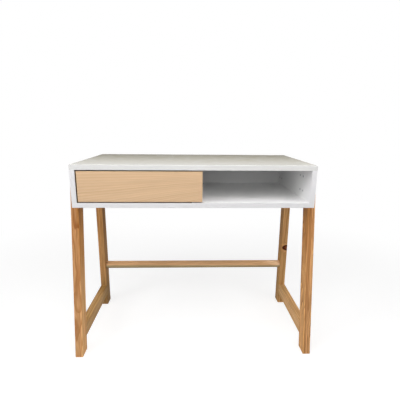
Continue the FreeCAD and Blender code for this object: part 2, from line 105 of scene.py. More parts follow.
class ShaderSheet:
    """The node tree of one material or world, with a short method for each kind of node."""

    def __init__(self, block: Block) -> None:
        """Take a material or world and empty its node tree.

        Args:
            block: The material or world.
        """
        block.use_nodes = True
        self.block = block
        self.nodes = block.node_tree.nodes
        self.links = block.node_tree.links
        self.nodes.clear()
        self.coordinates = self.nodes.new("ShaderNodeTexCoord").outputs["Object"]

    @classmethod
    def of_material(cls, name: str) -> "ShaderSheet":
        """The sheet of a new material with this name."""
        return cls(bpy.data.materials.new(name))

    def place(self, socket: Socket, value: Value) -> None:
        """Link a socket to another one, or set its value.

        Args:
            socket: The input to fill.
            value: An output socket, a number or a tuple of numbers.
        """
        if isinstance(value, bpy.types.NodeSocket):
            self.links.new(value, socket)
        elif socket.type == "RGBA":
            socket.default_value = (*value, 1.0)
        else:
            socket.default_value = value

    def fill(self, sockets: Iterable[Socket], values: Iterable[Value]) -> None:
        """Link or set the first of these sockets, in order."""
        for socket, value in zip(sockets, values):
            self.place(socket, value)

    def math(self, operation: str, *values: Value) -> Socket:
        """A Math node.

        Args:
            operation: Blender's name of the operation.
            values: Its inputs, in order.

        Returns:
            The result's socket.
        """
        node = self.nodes.new("ShaderNodeMath")
        node.operation = operation
        self.fill(node.inputs, values)
        return node.outputs[0]

    def vector(self, operation: str, *values: Value) -> Socket:
        """A Vector Math node.

        Args:
            operation: Blender's name of the operation.
            values: Its inputs, in order; the second one of SCALE is its factor.

        Returns:
            The number that a dot product or length gives, and the vector of any other operation.
        """
        node = self.nodes.new("ShaderNodeVectorMath")
        node.operation = operation
        inputs = [node.inputs[0], node.inputs["Scale"]] if operation == "SCALE" else node.inputs
        self.fill(inputs, values)
        wants_number = operation in ("DOT_PRODUCT", "LENGTH")
        return node.outputs["Value" if wants_number else "Vector"]

    def noise(self, vector: Socket, scale: float, detail: float = 2.0, roughness: float = 0.5) -> Socket:
        """Smooth noise from about 0.2 to 0.8, with its middle at 0.5.

        Args:
            vector: Where it is read.
            scale: Waves per unit of the vector.
            detail: How many finer layers are added.
            roughness: How strong the finer layers are.

        Returns:
            The noise's socket.
        """
        node = self.nodes.new("ShaderNodeTexNoise")
        self.place(node.inputs["Vector"], vector)
        node.inputs["Scale"].default_value = scale
        node.inputs["Detail"].default_value = detail
        node.inputs["Roughness"].default_value = roughness
        return node.outputs[0]

    def drawn_out(self, axis: Axis, wave: Span) -> Socket:
        """The coordinates times so many waves a metre across and along an axis.

        Args:
            axis: The axis.
            wave: The waves across it, and those along it.

        Returns:
            The socket of the places at which noise is read.
        """
        across, along = wave
        waves = tuple(along if on else across for on in axis.value)
        return self.vector("MULTIPLY", self.coordinates, waves)

    def dice(self, number: Socket) -> Socket:
        """A fixed random value from 0 to 1 for each value of a number.

        Args:
            number: A whole number's socket.

        Returns:
            The random value's socket.
        """
        node = self.nodes.new("ShaderNodeTexWhiteNoise")
        node.noise_dimensions = "1D"
        self.place(node.inputs["W"], number)
        return node.outputs["Value"]

    def between(
        self,
        value: Value,
        low: float,
        high: float,
        start: float = 0.0,
        end: float = 1.0,
        ramp: Ramp = Ramp.SMOOTH,
    ) -> Socket:
        """A step that goes from start to end while a value goes from low to high.

        Args:
            value: The value that is read.
            low: Where the step begins.
            high: Where it is complete.
            start: The result below low.
            end: The result above high.
            ramp: How the step goes between the two.

        Returns:
            The step's socket.
        """
        node = self.nodes.new("ShaderNodeMapRange")
        node.interpolation_type = ramp.value
        self.fill(node.inputs, (value, low, high, start, end))
        return node.outputs[0]

    def within(self, low: Point, high: Point) -> Socket:
        """1 inside a box and 0 outside it.

        Args:
            low: The box's low corner.
            high: Its high corner.

        Returns:
            The socket that holds the answer.
        """
        middle, half = (np.add(high, low) / 2).tolist(), (np.subtract(high, low) / 2).tolist()
        away = self.vector("ABSOLUTE", self.vector("SUBTRACT", self.coordinates, middle))
        past = self.nodes.new("ShaderNodeSeparateXYZ")
        self.place(past.inputs[0], self.vector("SUBTRACT", away, half))
        x, y, z = past.outputs
        farthest = self.math("MAXIMUM", self.math("MAXIMUM", x, y), z)
        return self.math("LESS_THAN", farthest, 0.0)

    def zoned(self, colour: Value, zones: Sequence[Zone]) -> Value:
        """A colour with others in its zones, a later zone over an earlier one.

        Args:
            colour: The colour outside the zones.
            zones: The zones.

        Returns:
            The colour everywhere.
        """
        for zone in zones:
            share = self.within(zone.low, zone.high)
            if zone.come_in is not None:
                depth = self.vector("DOT_PRODUCT", self.coordinates, Axis.Y.value)
                share = self.math("MULTIPLY", share, self.between(depth, *zone.come_in))
            colour = self.blend(share, colour, zone.colour)
        return colour

    def blend(self, factor: Value, first: Value, second: Value) -> Socket:
        """Two colours mixed.

        Args:
            factor: The second colour's share.
            first: The colour at factor 0.
            second: The colour at factor 1.

        Returns:
            The colour's socket.
        """
        node = self.nodes.new("ShaderNodeMix")
        node.data_type = "RGBA"
        self.place(node.inputs[0], factor)
        self.place(node.inputs[6], first)
        self.place(node.inputs[7], second)
        return node.outputs[2]

    def shade(self, colour: Value, factor: Socket) -> Socket:
        """A colour with its three channels multiplied by one factor."""
        return self.vector("SCALE", colour, factor)

    def swing(self, value: Value, reach: float, middle: float = 1.0) -> Socket:
        """A noise from 0 to 1 turned into a factor that goes so far to each side of a middle."""
        return self.math("MULTIPLY_ADD", value, 2.0 * reach, middle - reach)

    def bump(self, height: Socket, depth: float) -> Socket:
        """A normal that follows a height.

        Args:
            height: The height, from 0 to 1.
            depth: How deep that is, in metres.

        Returns:
            The normal's socket.
        """
        node = self.nodes.new("ShaderNodeBump")
        node.inputs["Strength"].default_value = 1.0
        node.inputs["Distance"].default_value = depth
        self.place(node.inputs["Height"], height)
        return node.outputs["Normal"]

    def seen(self) -> Socket:
        """1 for a ray that shows the background: seen straight, mirrored or through glass.

        Returns:
            The socket that holds the answer.
        """
        path = self.nodes.new("ShaderNodeLightPath")
        direct = self.math("MAXIMUM", path.outputs["Is Camera Ray"], path.outputs["Is Glossy Ray"])
        return self.math("MAXIMUM", direct, path.outputs["Is Transmission Ray"])

    def shader(self, kind: str, *values: Value) -> Socket:
        """A shader node.

        Args:
            kind: What follows ShaderNode in the name of its type.
            values: Its inputs, in order.

        Returns:
            The shader's socket.
        """
        node = self.nodes.new("ShaderNode" + kind)
        self.fill(node.inputs, values)
        return node.outputs[0]

    def output(self, shader: Socket) -> None:
        """Make a shader the surface of the material or world.

        Args:
            shader: The shader's socket.
        """
        kind = "World" if isinstance(self.block, bpy.types.World) else "Material"
        node = self.nodes.new("ShaderNodeOutput" + kind)
        self.links.new(shader, node.inputs["Surface"])

    def surface(self, **values: Value) -> bpy.types.Material:
        """The piece's shader, put out.

        Args:
            values: What goes into the shader's sockets, by their names with _ for a space.

        Returns:
            The finished material.
        """
        shader = self.nodes.new("ShaderNodeBsdfPrincipled")
        for name, value in values.items():
            self.place(shader.inputs[name.replace("_", " ")], value)
        self.output(shader.outputs[0])
        return self.block


@dataclass(frozen=True)
class Lacquer:
    """Sprayed lacquer on smooth board: a faint orange-peel skin and an uneven sheen.

    The clouds, the sheen and the peel are noises with so many waves a metre.
    """

    name: str
    colour: Colour
    zones: tuple[Zone, ...] = ()
    roughness: float = 0.13
    gloss: float = 0.5
    clouds: float = 5.0
    cloud_swing: float = 0.02
    sheen: float = 38.0
    sheen_swing: float = 0.08
    peel: float = 420.0
    peel_depth: float = 0.000004

    def material(self) -> bpy.types.Material:
        """The lacquer's nodes.

        Returns:
            The finished material.
        """
        sheet = ShaderSheet.of_material(self.name)
        cloud = sheet.noise(sheet.coordinates, self.clouds, detail=3.0)
        skin = sheet.noise(sheet.coordinates, self.peel, detail=1.0)
        sheen = sheet.noise(sheet.coordinates, self.sheen, detail=3.0)
        colour = sheet.zoned(self.colour, self.zones)
        return sheet.surface(
            Base_Color=sheet.shade(colour, sheet.swing(cloud, self.cloud_swing)),
            Roughness=sheet.swing(sheen, self.sheen_swing, self.roughness),
            Specular_IOR_Level=self.gloss,
            Normal=sheet.bump(skin, self.peel_depth),
        )


@dataclass(frozen=True)
class Knot:
    """A knot on a face: its centre, its half sizes along X, Y and Z in metres, and its colours.

    A point's distance from the centre is counted in the half sizes. Over each span of it one thing changes:
    the core to the rim, the rim to the wood, the brighter wood round the knot to plain wood, and the rings
    that the knot pushes aside to straight ones.
    """

    centre: Point
    radii: Point
    core: Colour = (0.22, 0.065, 0.020)
    rim: Colour = (0.050, 0.007, 0.001)
    core_span: Span = (0.40, 0.80)
    rim_span: Span = (1.0, 1.18)
    halo_span: Span = (1.3, 2.0)
    push_span: Span = (0.4, 2.4)
    halo_gain: float = 1.18
    ragged_wave: float = 160.0
    raggedness: float = 0.14

    def distance(self, sheet: ShaderSheet) -> Socket:
        """How far a point is from the centre, in half sizes."""
        offset = sheet.vector("SUBTRACT", sheet.coordinates, self.centre)
        return sheet.vector("LENGTH", sheet.vector("DIVIDE", offset, self.radii))

    def pushed(self, sheet: ShaderSheet, reach: Socket, push: float) -> Socket:
        """The distance from the pith, made longer round the knot by a push in metres."""
        return sheet.math("ADD", reach, sheet.between(self.distance(sheet), *self.push_span, push, 0.0))

    def marked(self, sheet: ShaderSheet, colour: Socket) -> Socket:
        """The wood with the knot on it.

        Args:
            sheet: The material's node sheet.
            colour: The wood's colour.

        Returns:
            The new colour's socket.
        """
        distance = self.distance(sheet)
        ragged = sheet.noise(sheet.coordinates, self.ragged_wave)
        edge = sheet.math("MULTIPLY_ADD", ragged, self.raggedness, distance)
        heart = sheet.blend(sheet.between(edge, *self.core_span), self.core, self.rim)
        halo = sheet.between(distance, *self.halo_span, self.halo_gain, 1.0)
        share = sheet.between(edge, *self.rim_span, 1.0, 0.0)
        return sheet.blend(share, sheet.shade(colour, halo), heart)


@dataclass(frozen=True)
class ToneAndPaintedLight:
    """A tint towards one side or end of a piece: mostly painted light and shade, lighter where light falls
    and darker where shade falls, and in places wood of another tone.

    It has the way towards that side, where along the way the tint starts and is full, and its tint.
    """

    way: Point
    start: float
    full: float
    tint: Colour

    def tinted(self, sheet: ShaderSheet, colour: Socket) -> Socket:
        """The wood with the tint in it.

        Args:
            sheet: The material's node sheet.
            colour: The wood's colour.

        Returns:
            The new colour's socket.
        """
        outwards = sheet.vector("DOT_PRODUCT", sheet.coordinates, self.way)
        toned = sheet.vector("MULTIPLY", colour, self.tint)
        return sheet.blend(sheet.between(outwards, self.start, self.full), colour, toned)


@dataclass(frozen=True)
class Sweep:
    """Grain that rises along X in the lower part of a board.

    From its start along X, the grain's rise is the way times a slope that itself grows with the way. It is
    full at the height low and none at the height high.
    """

    start: float
    slope: float
    growth: float
    low: float
    high: float

    def lowered(self, sheet: ShaderSheet) -> Socket:
        """The points, each lowered by the grain's rise there.

        Args:
            sheet: The material's node sheet.

        Returns:
            The points' socket.
        """
        height = sheet.vector("DOT_PRODUCT", sheet.coordinates, Axis.Z.value)
        across = sheet.vector("DOT_PRODUCT", sheet.coordinates, Axis.X.value)
        way = sheet.math("SUBTRACT", across, self.start)
        slope = sheet.math("MULTIPLY_ADD", way, self.growth, self.slope)
        share = sheet.between(height, self.low, self.high, 1.0, 0.0, Ramp.STRAIGHT)
        rise = sheet.math("MULTIPLY", sheet.math("MULTIPLY", way, slope), share)
        return sheet.vector("SUBTRACT", sheet.coordinates, sheet.vector("SCALE", Axis.Z.value, rise))


@dataclass(frozen=True)
class RingedWood:
    """Wood with growth rings about a pith line, fibres along it, and knots that push the rings aside.

    The ring number at a point is its distance from the pith line, bent by slow noise, over the ring width.
    Late wood comes and goes over spans of each ring, and in streaks and bands over spans of a noise. Each
    wave is a noise's waves a metre across the fibres, and those along them.
    """

    name: str
    pith: Point
    grain: Point
    early: Colour
    late: Colour
    ring_width: float = 0.006
    waviness: float = 0.010
    wave: Span = (14.0, 3.2)
    late_rise: Span = (0.30, 0.86)
    late_fall: Span = (0.90, 1.0)
    faintest_ring: float = 0.4
    streaks: float = 0.70
    streak_wave: Span = (230.0, 5.0)
    streak_rise: Span = (0.44, 0.70)
    bands: float = 0.60
    band_wave: Span = (100.0, 2.0)
    band_rise: Span = (0.48, 0.68)
    fibre_wave: Span = (900.0, 16.0)
    fibre_swing: float = 0.30
    fibre_depth: float = 0.00005
    tone_wave: Span = (34.0, 3.0)
    tone_swing: float = 0.30
    late_height: float = 0.5
    roughness: float = 0.55
    sheen_swing: float = 0.10
    gloss: float = 0.08
    knots: tuple[Knot, ...] = ()
    tones_and_painted_light: tuple[ToneAndPaintedLight, ...] = ()
    sweep: Sweep | None = None
    zones: tuple[Zone, ...] = ()

    def ringed(self, sheet: ShaderSheet, reach: Socket) -> Socket:
        """The rings' late wood: it rises and falls over each ring, times a strength drawn for that ring.

        Args:
            sheet: The material's node sheet.
            reach: The bent distance from the pith line.

        Returns:
            The socket of the late wood's share.
        """
        rings = sheet.math("DIVIDE", reach, self.ring_width)
        part = sheet.math("FRACT", rings)
        rise = sheet.between(part, *self.late_rise)
        fall = sheet.between(part, *self.late_fall, 1.0, 0.0)
        draw = sheet.dice(sheet.math("FLOOR", rings))
        strength = sheet.math("MULTIPLY_ADD", draw, 1.0 - self.faintest_ring, self.faintest_ring)
        return sheet.math("MULTIPLY", sheet.math("MULTIPLY", rise, fall), strength)

    def material(self) -> bpy.types.Material:
        """The wood's nodes.

        Returns:
            The finished material.
        """
        sheet = ShaderSheet.of_material(self.name)
        grain = tuple(Vector(self.grain).normalized())
        points = sheet.coordinates if self.sweep is None else self.sweep.lowered(sheet)
        from_pith = sheet.vector("SUBTRACT", points, self.pith)
        along = sheet.vector("SCALE", grain, sheet.vector("DOT_PRODUCT", from_pith, grain))
        across = sheet.vector("SUBTRACT", from_pith, along)

        def fibrous(wave: Span, detail: float = 2.0) -> Socket:
            """Noise with so many waves a metre across and along the fibres."""
            parts = (sheet.vector("SCALE", way, waves) for way, waves in zip((across, along), wave))
            return sheet.noise(sheet.vector("ADD", *parts), 1.0, detail)

        bend = sheet.math("SUBTRACT", fibrous(self.wave), 0.5)
        reach = sheet.math("MULTIPLY_ADD", bend, 2.0 * self.waviness, sheet.vector("LENGTH", across))
        for knot in self.knots:
            reach = knot.pushed(sheet, reach, 2.0 * self.ring_width)
        streak = sheet.between(fibrous(self.streak_wave, detail=3.0), *self.streak_rise, 0.0, self.streaks)
        band = sheet.between(fibrous(self.band_wave), *self.band_rise, 0.0, self.bands)
        late = sheet.math("MAXIMUM", sheet.math("MAXIMUM", self.ringed(sheet, reach), streak), band)
        fibres = fibrous(self.fibre_wave)
        slow = fibrous(self.tone_wave, detail=3.0)
        colour = sheet.zoned(sheet.blend(late, self.early, self.late), self.zones)
        colour = sheet.shade(colour, sheet.swing(fibres, self.fibre_swing))
        colour = sheet.shade(colour, sheet.swing(slow, self.tone_swing))
        for tone in self.tones_and_painted_light:
            colour = tone.tinted(sheet, colour)
        for knot in self.knots:
            colour = knot.marked(sheet, colour)
        height = sheet.math("MULTIPLY_ADD", late, self.late_height, fibres)
        return sheet.surface(
            Base_Color=colour,
            Roughness=sheet.swing(fibres, self.sheen_swing, self.roughness),
            Specular_IOR_Level=self.gloss,
            Normal=sheet.bump(height, self.fibre_depth),
        )


@dataclass(frozen=True)
class Plywood:
    """Birch plywood: plies stacked from one face to the other, every second one across the grain.

    The skin is the share of an outer ply that is left out, so that each face lies inside its ply.
    """

    name: str
    stack: Axis
    start: float
    thickness: float
    grain: Axis
    plies: int = 7
    skin: float = 0.05
    face: Colour = (0.66, 0.51, 0.34)
    end: Colour = (0.43, 0.28, 0.15)
    wave: Span = (260.0, 8.0)
    figure_swing: float = 0.10
    fibre_fineness: float = 5.0
    fibre_swing: float = 0.08
    fibre_depth: float = 0.00004
    roughness: float = 0.48
    sheen_swing: float = 0.06

    def material(self) -> bpy.types.Material:
        """The plywood's nodes.

        Returns:
            The finished material.
        """
        sheet = ShaderSheet.of_material(self.name)
        depth = sheet.vector("DOT_PRODUCT", sheet.coordinates, self.stack.value)
        end = self.start + self.thickness
        place = sheet.between(depth, self.start, end, self.skin, self.plies - self.skin, Ramp.STRAIGHT)
        crossed = sheet.math("MODULO", sheet.math("FLOOR", place), 2.0)
        drawn_out = sheet.drawn_out(self.grain, self.wave)
        figure = sheet.noise(drawn_out, 1.0, detail=3.0)
        fibres = sheet.noise(drawn_out, self.fibre_fineness)
        colour = sheet.blend(crossed, self.face, self.end)
        colour = sheet.shade(colour, sheet.swing(figure, self.figure_swing))
        colour = sheet.shade(colour, sheet.swing(fibres, self.fibre_swing))
        return sheet.surface(
            Base_Color=colour,
            Roughness=sheet.swing(fibres, self.sheen_swing, self.roughness),
            Normal=sheet.bump(fibres, self.fibre_depth),
        )


@dataclass(frozen=True)
class PlatedSteel:
    """Zinc-plated steel: clouded plating with fine marks drawn along one direction."""

    name: str
    colour: Colour
    drawn: Axis = Axis.Y
    roughness: float = 0.34
    clouds: float = 70.0
    cloud_swing: float = 0.14
    mark_wave: Span = (1800.0, 25.0)
    mark_swing: float = 0.12
    mark_depth: float = 0.000006

    def material(self) -> bpy.types.Material:
        """The plating's nodes.

        Returns:
            The finished material.
        """
        sheet = ShaderSheet.of_material(self.name)
        cloud = sheet.noise(sheet.coordinates, self.clouds, detail=4.0, roughness=0.6)
        marks = sheet.noise(sheet.drawn_out(self.drawn, self.mark_wave), 1.0)
        return sheet.surface(
            Base_Color=sheet.shade(self.colour, sheet.swing(cloud, self.cloud_swing)),
            Metallic=1.0,
            Roughness=sheet.swing(marks, self.mark_swing, self.roughness),
            Normal=sheet.bump(marks, self.mark_depth),
        )


@dataclass(frozen=True)
class Rubber:
    """Matt black rubber with a dusty bloom."""

    name: str
    colour: Colour = (0.022, 0.022, 0.023)
    roughness: float = 0.72
    bloom: float = 220.0
    bloom_swing: float = 0.45
    sheen_swing: float = 0.08
    grit: float = 2400.0
    grit_depth: float = 0.00002

    def material(self) -> bpy.types.Material:
        """The rubber's nodes.

        Returns:
            The finished material.
        """
        sheet = ShaderSheet.of_material(self.name)
        bloom = sheet.noise(sheet.coordinates, self.bloom, detail=4.0)
        grit = sheet.noise(sheet.coordinates, self.grit, detail=1.0)
        return sheet.surface(
            Base_Color=sheet.shade(self.colour, sheet.swing(bloom, self.bloom_swing)),
            Roughness=sheet.swing(bloom, self.sheen_swing, self.roughness),
            Normal=sheet.bump(grit, self.grit_depth),
        )


def node_points(node: str) -> np.ndarray:
    """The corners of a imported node's mesh.

    Args:
        node: The node's name.

    Returns:
        An array of points, one a row, in metres.
    """
    mesh = bpy.data.objects[node].data
    flat = np.zeros(len(mesh.vertices) * 3, np.float32)
    mesh.vertices.foreach_get("co", flat)
    return flat.reshape(-1, 3).astype(float)


def dress(material: bpy.types.Material, *nodes: str) -> None:
    """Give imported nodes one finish.

    Args:
        material: The finish's material.
        nodes: The nodes' names.
    """
    for node in nodes:
        mesh = bpy.data.objects[node].data
        mesh.materials.clear()
        mesh.materials.append(material)
        LOG.info("dressed %s in %s", node, material.name)


def ring_stack(
    rings: np.ndarray, first: np.ndarray, last: np.ndarray, start: int
) -> tuple[np.ndarray, list[list[int]]]:
    """A closed skin over a stack of rings: a four-cornered face from each place to the next ring and round.

    Args:
        rings: Points by ring and by place round the ring.
        first: The point that closes the first ring with a fan.
        last: The point that closes the last ring.
        start: The first corner's number.

    Returns:
        The corners, and the faces as lists of corner numbers.
    """
    count, sides, _ = rings.shape
    corners = np.vstack([rings.reshape(-1, 3), first, last])
    number = start + np.arange(count * sides).reshape(count, sides)
    turned = np.roll(number, -1, axis=1)
    first_number = np.full(sides, start + count * sides)
    quads = np.stack([number[:-1], turned[:-1], turned[1:], number[1:]], axis=-1).reshape(-1, 4)
    start_fan = np.stack([turned[0], number[0], first_number], axis=-1)
    end_fan = np.stack([number[-1], turned[-1], first_number + 1], axis=-1)
    return corners, quads.tolist() + start_fan.tolist() + end_fan.tolist()


@dataclass(frozen=True)
class CrossHeadScrews:
    """One group of countersunk wood screws, each with a cross recess and a threaded shank.

    A screw is a stack of rings: the flat head with the recess sunk into it, the cone under it, the shank,
    whose radius rises and falls with the thread as the ring's place and the angle go up together, and the
    tip. A head is twice as wide as the shank, so that its radius is the screw's diameter.
    """

    node: str
    body: str
    diameter: float
    drive: Axis
    slot: str = "zinc_screw"
    sides: int = 32
    # How near points of one screw are, across and along it, and the head's rim, in diameters.
    near_across: float = 2.1
    near_along: float = 12.0
    rim: float = 0.9
    # The head's rings: how many, and the first one's radius and the recess in radii of the head.
    face_rings: int = 14
    face_start: float = 0.06
    recess_reach: float = 0.60
    recess_width: float = 0.15
    recess_depth: float = 0.34
    # Where an arm's wall meets the face, in widths of the arm.
    recess_wall: float = 1.5
    # The thread's pitch and the last ring's way from the tip in diameters, and its core in shank radii.
    pitch_share: float = 0.42
    tip_share: float = 0.25
    core_share: float = 0.68
    rings_per_turn: int = 6
    # A crest's half width, and the thread's run-out under the head, in turns.
    crest_width: float = 0.3
    run_out: float = 3.0
    # Edges that turn more than so many degrees stay sharp.
    sharp_edge: float = 35.0

    def seats(self) -> list[tuple[np.ndarray, np.ndarray, float]]:
        """The place of each screw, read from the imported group.

        A screw's points are those near the first one that is left, and its head is where they are widest.

        Returns:
            Each screw's head centre, drive direction and length.
        """
        axis = np.array(self.drive.value)
        points = node_points(self.node)
        found = []
        while len(points):
            offset = points - points[0]
            along = offset @ axis
            across = np.linalg.norm(offset - np.outer(along, axis), axis=1)
            near = across < self.near_across * self.diameter
            mine = near & (np.abs(along) < self.near_along * self.diameter)
            screw, points = points[mine], points[~mine]
            middle = (screw.min(axis=0) + screw.max(axis=0)) / 2
            reach = (screw - middle) @ axis
            radius = np.linalg.norm(screw - middle - np.outer(reach, axis), axis=1)
            head = reach[radius > self.rim * self.diameter].mean()
            way = axis if head < 0 else -axis
            found.append((middle + head * axis, way, float(np.ptp(reach))))
        return found

    def face(self, angle: np.ndarray) -> np.ndarray:
        """The rings of a head: evenly wider ones, each point sunk by the deeper of the recess's two arms.

        Args:
            angle: The places round a ring.

        Returns:
            Points by ring and by place round the ring.
        """
        head = self.diameter
        radius = np.linspace(self.face_start, 1.0, self.face_rings)[:, None] * head
        x, y = radius * np.cos(angle), radius * np.sin(angle)

        def arm(lengthwise: np.ndarray, sideways: np.ndarray) -> np.ndarray:
            """One arm's depth, from 0 to 1: the root of the reach that is left, times the width's share."""
            reach = np.clip(1 - np.abs(lengthwise) / (self.recess_reach * head), 0, 1)
            width = np.clip(self.recess_wall - np.abs(sideways) / (self.recess_width * head), 0, 1)
            return np.sqrt(reach) * width

        sink = np.maximum(arm(x, y), arm(y, x)) * self.recess_depth * head
        return np.stack([x, y, sink], axis=-1)

    def shank(self, angle: np.ndarray, length: float) -> np.ndarray:
        """The rings from the neck to the tip.

        A ring's radius is the core's, and the thread's height more where the turn, which is the height over
        the pitch less the angle's share of a circle, is half-way between two whole numbers.

        Args:
            angle: The places round a ring.
            length: From the head's face to the tip, in metres.

        Returns:
            Points by ring and by place round the ring.
        """
        outer = self.diameter / 2
        core = outer * self.core_share
        pitch = self.pitch_share * self.diameter
        neck, tip = self.diameter / 2, length - self.diameter
        threaded = np.arange(neck + pitch, tip, pitch / self.rings_per_turn)
        height = np.concatenate([[neck], threaded, [tip, length - self.tip_share * self.diameter]])[:, None]
        turn = height / pitch - angle / (2 * np.pi)
        crest = np.clip(1 - np.abs(turn - np.floor(turn) - 0.5) / self.crest_width, 0, 1)
        swell = np.clip((height - neck) / (self.run_out * pitch), 0, 1)
        taper = np.clip((length - height) / self.diameter, 0, 1)
        radius = (core + (outer - core) * crest * swell) * taper
        radius[0] = outer
        level = np.broadcast_to(height, radius.shape)
        return np.stack([radius * np.cos(angle), radius * np.sin(angle), level], axis=-1)

    def build(self, plating: bpy.types.Material) -> None:
        """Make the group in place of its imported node.

        Args:
            plating: The screws' finish.
        """
        angle = np.linspace(0, 2 * np.pi, self.sides, endpoint=False)
        recess = np.array([0.0, 0.0, self.recess_depth * self.diameter])
        corners, faces, start = [], [], 0
        for seat, way, length in self.seats():
            rings = np.concatenate([self.face(angle), self.shank(angle, length)])
            points, cells = ring_stack(rings[:, ::-1], recess, np.array([0.0, 0.0, length]), start)
            turn = np.array(Vector(Axis.Z.value).rotation_difference(Vector(way)).to_matrix())
            corners.append(points @ turn.T + seat)
            faces += cells
            start += len(points)
        mesh = bpy.data.meshes.new(self.node + "_detail")
        mesh.from_pydata(np.vstack(corners), [], faces)
        mesh.shade_smooth()
        mesh.set_sharp_from_angle(angle=math.radians(self.sharp_edge))
        mesh.materials.append(plating)
        piece = bpy.data.objects.new(self.node + "_detail", mesh)
        bpy.context.scene.collection.objects.link(piece)
        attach(piece, self.body)
        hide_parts(self.node)
        LOG.info("built %s with %d faces", piece.name, len(faces))


@dataclass
class Case:
    """The white box: a polished top, satin boards and divider, and a back panel held with screws."""

    # The top's face is grey as painted shade, darker than the white boards for the dimmer light on it.
    polished: Lacquer = Lacquer("white_lacquer", (0.662, 0.654, 0.618))
    satin: Lacquer = Lacquer("white_lacquer_satin", (0.874, 0.866, 0.877), roughness=0.40, gloss=0.05)
    # The back panel's grey is partly a greyer hardboard and partly painted shade, keeping the back dim
    # beside the paler inside.
    panel: Lacquer = Lacquer("white_panel", (0.80, 0.80, 0.80), roughness=0.40, gloss=0.05)
    # The front edges' colours are painted light and shade, set for how brightly each front edge is lit.
    shaded_top_edge: Colour = (0.741, 0.736, 0.724)
    shaded_board_edge: Colour = (0.804, 0.797, 0.807)
    # The faces inside the case are paler as painted light, for the light that bounces round the open bay.
    inside: Colour = (0.97, 0.97, 0.965)
    boards: tuple[str, ...] = ("case_bottom", "case_left_side", "case_right_side", "divider")
    screws: CrossHeadScrews = CrossHeadScrews("back_screws", "case", 3.0 * MM, Axis.Y)
    # Depths behind the front: of the edges' zone, and where the other zones come in; the paler inside,
    # which is painted light, comes in over its own span.
    edge_depth: float = 1.5 * MM
    inside_light_span: Span = (3.0 * MM, 125.0 * MM)
    raw_span: Span = (1.0 * MM, 1.5 * MM)
    # How far a zone reaches into the boards round it.
    margin: float = 0.5 * MM

    def zones(self, edge: Colour) -> tuple[Zone, Zone, Zone]:
        """The front edges, whose colour is painted light and shade; the faces inside the case, paler as
        painted light; and the drawer's bay of raw board, whose dark colour also paints the shade in the
        gaps round the drawer.

        Args:
            edge: The front edges' colour.

        Returns:
            The three zones.
        """
        margin = self.margin
        floor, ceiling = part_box("case_bottom")[1].z - margin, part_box("case_top")[0].z + margin
        left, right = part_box("case_left_side")[1].x - margin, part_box("case_right_side")[0].x + margin
        front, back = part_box("case_top")[0].y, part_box("case_top")[1].y
        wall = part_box("divider")[0].x + margin
        low = (left, front, floor)
        inside, raw = (tuple(front + depth for depth in span) for span in (self.inside_light_span, self.raw_span))
        return (
            Zone((-FAR, front - margin, 0.0), (FAR, front + self.edge_depth, FAR), edge),
            Zone(low, (right, back, ceiling), self.inside, inside),
            # Raw board in the drawer's bay, whose dark colour also paints the shade in the gaps.
            Zone(low, (wall, back, ceiling), RAW_BOARD_AND_GAP_SHADE, raw),
        )

    def build(self, plating: bpy.types.Material, peg: bpy.types.Material) -> None:
        """Dress the boards and their dowels, and make the back's screws.

        Args:
            plating: The screws' finish.
            peg: The dowels' finish.
        """
        dress(replace(self.polished, zones=self.zones(self.shaded_top_edge)).material(), "case_top")
        dress(replace(self.satin, zones=self.zones(self.shaded_board_edge)).material(), *self.boards)
        dress(self.panel.material(), "case_back")
        dress(peg, "case_dowels")
        self.screws.build(plating)


